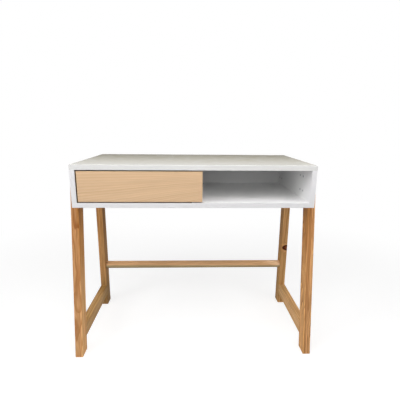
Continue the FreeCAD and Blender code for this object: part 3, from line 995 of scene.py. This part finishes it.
@dataclass
class LegFrames:
    """Four pine legs, two side rails and the round stretcher, each cut from its own log; their colours and
    tints also hold painted light and shade.
    """

    screws: CrossHeadScrews = CrossHeadScrews("leg_screws", "case", 4.5 * MM, Axis.X)

    def lean(self) -> float:
        """A front leg's way along Y for each metre of height.

        It is the depth that the leg has more than an upright leg, over its height.

        Returns:
            The lean, without a unit.
        """
        upright_low, upright_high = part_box("rear_left_leg")
        low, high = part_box("front_left_leg")
        return (high.y - low.y - (upright_high.y - upright_low.y)) / (high.z - low.z)

    def woods_and_painted_light(self) -> dict[str, RingedWood]:
        """The wood of each piece, with its pith, grain and colours, which are partly the piece's own wood
        and partly painted light, each piece made lighter or darker for how it is lit.

        Returns:
            The finishes, by node.
        """
        lean = self.lean()
        down = (0.0, 0.0, -1.0)
        return {
            "front_left_leg": RingedWood(
                "pine_front_left",
                pith=(-0.4469, -0.1674, -0.072),
                grain=(0.012, lean - 0.03, 1.0),
                early=(0.588, 0.302, 0.125),
                late=(0.353, 0.131, 0.039),
                ring_width=0.0055,
                waviness=0.014,
                wave=(16.0, 4.5),
                tones_and_painted_light=(
                    ToneAndPaintedLight((1.0, 0.0, -0.012), -0.441, -0.4335, tint=(1.24, 1.32, 1.26)),
                    # Painted light: lighter and bluer towards the floor, for the light that the floor
                    # throws up.
                    ToneAndPaintedLight(down, -0.50, -0.12, tint=(1.22, 1.33, 1.46)),
                    ToneAndPaintedLight((1.0, 0.0, 0.05), -0.418, -0.408, tint=(1.08, 0.98, 0.72)),
                ),
            ),
            "front_right_leg": RingedWood(
                "pine_front_right",
                pith=(0.395, -0.165, 0.0),
                grain=(0.0, lean, 1.0),
                early=(0.810, 0.453, 0.200),
                late=(0.286, 0.103, 0.030),
                ring_width=0.0050,
                waviness=0.018,
                wave=(24.0, 5.5),
                streaks=0.85,
                bands=0.80,
                tones_and_painted_light=(
                    ToneAndPaintedLight((-1.0, 0.0, -0.012), -0.441, -0.4335, tint=(1.12, 1.13, 1.02)),
                    # Painted shade: the upper inner side darker, in the shade under the case.
                    ToneAndPaintedLight((-1.0, 0.0, 0.05), -0.418, -0.408, tint=(0.82, 0.71, 0.55)),
                    ToneAndPaintedLight(Axis.Z.value, 0.15, 0.60, tint=(1.15, 1.14, 1.08)),
                ),
            ),
            "rear_left_leg": RingedWood(
                "pine_rear_left",
                pith=(-0.500, 0.190, 0.0),
                grain=Axis.Z.value,
                early=(0.585, 0.302, 0.112),
                late=(0.304, 0.129, 0.038),
                tones_and_painted_light=(
                    # Painted light: lighter and bluer towards the floor.
                    ToneAndPaintedLight(down, -0.42, -0.28, tint=(1.10, 1.17, 1.30)),
                    ToneAndPaintedLight(down, -0.19, -0.09, tint=(0.74, 0.79, 0.76)),
                    # Painted shade: the inner side darker.
                    ToneAndPaintedLight(Axis.X.value, -0.4335, -0.4325, tint=(0.80, 0.76, 0.62)),
                ),
            ),
            "rear_right_leg": RingedWood(
                "pine_rear_right",
                pith=(0.470, 0.215, 0.0),
                grain=(0.010, 0.0, 1.0),
                early=(0.660, 0.374, 0.160),
                late=(0.378, 0.175, 0.058),
                tones_and_painted_light=(
                    # Painted light: lighter towards the floor.
                    ToneAndPaintedLight(down, -0.290, -0.255, tint=(1.10, 1.15, 1.14)),
                    # Painted shade: the inner side darker.
                    ToneAndPaintedLight((-1.0, 0.0, 0.0), -0.4335, -0.4325, tint=(0.84, 0.80, 0.64)),
                ),
                knots=(Knot(centre=(0.4615, 0.153, 0.3003), radii=(0.0245, 0.030, 0.0140)),),
            ),
            "left_side_rail": RingedWood(
                "pine_left_rail",
                pith=(-0.470, 0.0, 0.020),
                grain=Axis.Y.value,
                early=(0.645, 0.396, 0.166),
                late=(0.382, 0.186, 0.059),
                # Painted shade: darker towards the back, where less light reaches.
                tones_and_painted_light=(ToneAndPaintedLight(Axis.Y.value, 0.04, 0.15, tint=(0.74, 0.72, 0.58)),),
            ),
            "right_side_rail": RingedWood(
                "pine_right_rail",
                pith=(0.480, 0.0, 0.130),
                grain=Axis.Y.value,
                early=(0.82, 0.500, 0.232),
                late=(0.53, 0.267, 0.100),
                # Painted shade: darker towards the back, where less light reaches.
                tones_and_painted_light=(ToneAndPaintedLight(Axis.Y.value, 0.03, 0.12, tint=(0.86, 0.88, 0.84)),),
            ),
            "stretcher_bar": RingedWood(
                "pine_stretcher",
                pith=(0.0, 0.150, 0.175),
                grain=Axis.X.value,
                early=(0.69, 0.415, 0.212),
                late=(0.48, 0.260, 0.114),
                waviness=0.006,
                tones_and_painted_light=(
                    # Painted light: the upper side paler, where the light falls.
                    ToneAndPaintedLight((0.0, -0.35, 1.0), 0.129, 0.149, tint=(1.41, 1.43, 1.51)),
                    # Painted light: the right end paler on its upper side.
                    ToneAndPaintedLight((1.0, 0.0, 3.0), 0.98, 1.06, tint=(1.30, 1.45, 1.65)),
                    # Painted shade: the underside darker.
                    ToneAndPaintedLight((-0.006, -0.60, -1.0), -0.3046, -0.2986, tint=(0.62, 0.78, 0.78)),
                ),
            ),
        }

    def build(self, plating: bpy.types.Material, peg: bpy.types.Material) -> None:
        """Dress the bars and their dowels, and make the screws that hold the legs.

        Args:
            plating: The screws' finish.
            peg: The dowels' finish.
        """
        for node, log in self.woods_and_painted_light().items():
            dress(log.material(), node)
        dress(peg, "rail_dowels")
        self.screws.build(plating)


@dataclass
class Drawer:
    """The pale front, and the plywood box behind it with its screws."""

    front: RingedWood = RingedWood(
        "pale_front",
        pith=(-0.30, -0.10, 0.20),
        grain=Axis.X.value,
        early=(0.729, 0.509, 0.319),
        late=(0.639, 0.420, 0.243),
        ring_width=0.0105,
        waviness=0.006,
        wave=(10.0, 2.5),
        streaks=0.45,
        bands=0.15,
        fibre_swing=0.16,
        fibre_depth=0.00002,
        tone_swing=0.08,
        roughness=0.42,
        sweep=Sweep(start=-0.41, slope=0.10, growth=0.36, low=0.6185, high=0.7275),
    )
    screw_diameter: float = 3.5 * MM
    board_plies: int = 7
    bottom_plies: int = 3
    # What the raw edges leave free: the front's rounding, its free end and its back.
    rounding: float = 1.2 * MM
    end_margin: float = 1.0 * MM
    back_margin: float = 0.3 * MM

    def edges(self) -> Zone:
        """The front's edges behind their rounding, which are raw board but for the free end; their dark
        colour also paints the shade in the gap round the front.

        Returns:
            Their zone.
        """
        low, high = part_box("drawer_front")
        corner = (high.x - self.end_margin, high.y - self.back_margin, FAR)
        return Zone((-FAR, low.y + self.rounding, 0.0), corner, RAW_BOARD_AND_GAP_SHADE)

    def boxes(self) -> dict[str, Plywood]:
        """The plywood of each board of the box.

        Returns:
            The finishes, by node.
        """
        stacks = {
            "drawer_left_side": (Axis.X, Axis.Y, self.board_plies),
            "drawer_right_side": (Axis.X, Axis.Y, self.board_plies),
            "drawer_inner_front": (Axis.Y, Axis.X, self.board_plies),
            "drawer_back": (Axis.Y, Axis.X, self.board_plies),
            "drawer_bottom": (Axis.Z, Axis.X, self.bottom_plies),
        }
        sheets = {}
        for node, (stack, grain, plies) in stacks.items():
            start, end = (corner.dot(stack.value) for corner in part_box(node))
            sheets[node] = Plywood("ply_" + node, stack, start, end - start, grain, plies)
        return sheets

    def build(self, plating: bpy.types.Material) -> None:
        """Dress the front and the box, and make their screws.

        Args:
            plating: The screws' finish.
        """
        dress(replace(self.front, zones=(self.edges(),)).material(), "drawer_front")
        for node, sheet in self.boxes().items():
            dress(sheet.material(), node)
        for node, drive in (("drawer_box_screws", Axis.X), ("front_screws", Axis.Y)):
            CrossHeadScrews(node, "drawer", self.screw_diameter, drive).build(plating)


@dataclass
class Slides:
    """The two ball-bearing slides, their screws and their rubber stops."""

    rail: PlatedSteel = PlatedSteel("zinc_rail", (0.62, 0.64, 0.67))
    cage: PlatedSteel = PlatedSteel("cage_steel", (0.50, 0.50, 0.50), roughness=0.42)
    ball: PlatedSteel = PlatedSteel("ball_steel", (0.72, 0.72, 0.73), roughness=0.14)
    stop: Rubber = Rubber("bumper_rubber")
    screw_diameter: float = 3.5 * MM
    rails: tuple[str, ...] = ("left_case_rail", "right_case_rail", "left_drawer_rail", "right_drawer_rail")

    def build(self, plating: bpy.types.Material) -> None:
        """Dress the rails, cages, balls and stops, and make the screws.

        Args:
            plating: The screws' finish.
        """
        dress(self.rail.material(), *self.rails)
        dress(self.cage.material(), "left_ball_cage", "right_ball_cage")
        dress(self.ball.material(), "left_slide_balls", "right_slide_balls")
        dress(self.stop.material(), "slide_bumpers")
        for node, body in (("case_rail_screws", "case"), ("drawer_rail_screws", "drawer")):
            CrossHeadScrews(node, body, self.screw_diameter, Axis.X).build(plating)


@dataclass(frozen=True)
class Lamp:
    """A soft rectangular lamp: its place and aim, its power in watts, and its width and height in metres.

    A lamp that is not in gloss lights the desk but isn't mirrored in it.
    """

    name: str
    place: Point
    aim: Point
    power: float
    size: Span
    in_gloss: bool = True

    def hang(self) -> None:
        """Put the lamp into the scene, out of the camera's sight, facing its aim."""
        data = bpy.data.lights.new(self.name, "AREA")
        data.energy = self.power
        data.shape = "RECTANGLE"
        data.size, data.size_y = self.size
        lamp = bpy.data.objects.new(self.name, data)
        bpy.context.scene.collection.objects.link(lamp)
        lamp.location = self.place
        lamp.rotation_mode = "QUATERNION"
        lamp.rotation_quaternion = (Vector(self.aim) - Vector(self.place)).to_track_quat("-Z", "Y")
        lamp.visible_camera = False
        lamp.visible_glossy = self.in_gloss


@dataclass
class Studio:
    """A pale floor, soft lamps and the camera."""

    place: Point = (-0.0104, -1.2534, 0.8819)
    heading: float = -1.9009
    tilt: float = 77.5344
    roll: float = 0.5179
    lens: float = 27.549
    sensor: float = 36.0
    shift: Span = (-0.00424, -0.01507)
    world_colour: Colour = (0.985, 0.985, 0.99)
    world_level: float = 0.10
    floor_reach: float = 60.0
    # What the floor throws on the desk, near it and far off, and the metres over which that changes.
    floor_near: Colour = (0.70, 0.70, 0.70)
    floor_far: Colour = (0.35, 0.35, 0.35)
    floor_turn: Span = (0.6, 1.3)
    # What the floor shows: its colour under the lamps, a glow, and the metres over which it goes to white.
    floor_shown: Colour = (0.40, 0.40, 0.40)
    floor_glow: float = 0.74
    floor_fade: Span = (0.8, 2.0)
    # The card behind the desk: its place, its half width, and its colours at three heights.
    flag_place: float = 2.6
    flag_reach: float = 5.0
    flag_steps: tuple[float, float, float] = (0.960, 1.040, 1.080)
    flag_dark: Colour = (0.0, 0.0, 0.0)
    flag_dim: Colour = (0.480, 0.380, 0.090)
    lamps: tuple[Lamp, ...] = (
        Lamp("high", (0.0, -0.75, 1.45), (0.0, -0.2, 0.7), 6.15, (2.2, 0.3)),
        Lamp("brow", (0.0, -0.47, 1.58), (0.0, -0.18, 0.62), 5.46, (2.2, 0.2)),
        Lamp("key", (0.0, -2.14, 2.27), FRONT_MIDDLE, 7.28, (3.0, 0.8)),
        Lamp("low", (0.0, -2.69, 1.14), FRONT_MIDDLE, 11.0, (3.0, 0.8)),
        Lamp("left", (-2.12, -1.37, 1.49), FRONT_MIDDLE, 23.15, (1.2, 1.2)),
        Lamp("right", (2.12, -1.37, 1.49), FRONT_MIDDLE, 13.0, (1.2, 1.2)),
        Lamp("back", (0.0, 2.30, 0.90), FRONT_MIDDLE, 16.0, (2.5, 1.0), in_gloss=False),
    )

    def world(self) -> None:
        """White where it is seen, and an even soft light on the desk."""
        world = bpy.data.worlds.new("studio")
        bpy.context.scene.world = world
        sheet = ShaderSheet(world)
        light = sheet.shader("Background", self.world_colour, self.world_level)
        white = sheet.shader("Background", WHITE, 1.0)
        sheet.output(sheet.shader("MixShader", sheet.seen(), light, white))

    def plane(self, name: str, corners: Sequence[Point], material: bpy.types.Material) -> bpy.types.Object:
        """One flat piece of the stage.

        Args:
            name: Its name.
            corners: Its four corners.
            material: Its finish.

        Returns:
            The piece.
        """
        mesh = bpy.data.meshes.new(name)
        mesh.from_pydata(corners, [], [(0, 1, 2, 3)])
        mesh.materials.append(material)
        piece = bpy.data.objects.new(name, mesh)
        bpy.context.scene.collection.objects.link(piece)
        return piece

    def floor(self) -> None:
        """A wide pale floor that keeps the desk's shadow, and is white further off."""
        sheet = ShaderSheet.of_material("studio_floor")
        away = sheet.vector("LENGTH", sheet.coordinates)
        tone = sheet.blend(sheet.between(away, *self.floor_turn), self.floor_near, self.floor_far)
        matt = sheet.shader("BsdfDiffuse", tone)
        shown = sheet.shader("BsdfDiffuse", self.floor_shown)
        lit = sheet.shader("AddShader", shown, sheet.shader("Emission", WHITE, self.floor_glow))
        white = sheet.shader("Emission", WHITE, 1.0)
        faded = sheet.shader("MixShader", sheet.between(away, *self.floor_fade), lit, white)
        sheet.output(sheet.shader("MixShader", sheet.seen(), matt, faded))
        reach = self.floor_reach
        corners = [(-reach, -reach, 0.0), (reach, -reach, 0.0), (reach, reach, 0.0), (-reach, reach, 0.0)]
        self.plane("studio_floor", corners, sheet.block)

    def flag(self) -> None:
        """A dim card behind the desk that only its gloss shows, and that is white at its upper edge."""
        sheet = ShaderSheet.of_material("studio_flag")
        height = sheet.vector("DOT_PRODUCT", sheet.coordinates, Axis.Z.value)
        low, middle, top = self.flag_steps
        dimming = sheet.between(height, low, middle, ramp=Ramp.STRAIGHT)
        whitening = sheet.between(height, middle, top, ramp=Ramp.STRAIGHT)
        colour = sheet.blend(whitening, sheet.blend(dimming, self.flag_dark, self.flag_dim), WHITE)
        sheet.output(sheet.shader("Emission", colour))
        reach, back = self.flag_reach, self.flag_place
        corners = [(-reach, back, 0.0), (reach, back, 0.0), (reach, back, top), (-reach, back, top)]
        flag = self.plane("studio_flag", corners, sheet.block)
        flag.visible_camera = False
        flag.visible_diffuse = False
        flag.visible_shadow = False

    def camera(self) -> None:
        """The camera where the photographer stood."""
        data = bpy.data.cameras.new("camera")
        data.sensor_width = self.sensor
        data.lens = self.lens
        data.shift_x, data.shift_y = self.shift
        camera = bpy.data.objects.new("camera", data)
        bpy.context.scene.collection.objects.link(camera)
        turn = (
            Matrix.Rotation(math.radians(self.heading), 4, "Z")
            @ Matrix.Rotation(math.radians(self.tilt), 4, "X")
            @ Matrix.Rotation(math.radians(self.roll), 4, "Z")
        )
        camera.matrix_world = Matrix.Translation(self.place) @ turn
        bpy.context.scene.camera = camera

    def build(self) -> None:
        """Set the stage: the background, the floor, the card, the lamps and the camera."""
        bpy.context.scene.view_settings.view_transform = "Standard"
        self.world()
        self.floor()
        self.flag()
        for lamp in self.lamps:
            lamp.hang()
        self.camera()


def main() -> None:
    """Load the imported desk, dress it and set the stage."""
    logging.basicConfig(level=logging.INFO, format="%(name)s: %(message)s")
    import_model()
    plating = PlatedSteel("zinc_screw", (0.52, 0.52, 0.54), roughness=0.30).material()
    peg = RingedWood(
        "beech_dowel",
        pith=(0.0, 0.0, 0.0),
        grain=Axis.Z.value,
        early=(0.62, 0.42, 0.25),
        late=(0.52, 0.33, 0.18),
        ring_width=0.003,
    ).material()
    Case().build(plating, peg)
    LegFrames().build(plating, peg)
    Drawer().build(plating)
    Slides().build(plating)
    Studio().build()


if __name__ == "__main__":
    main()
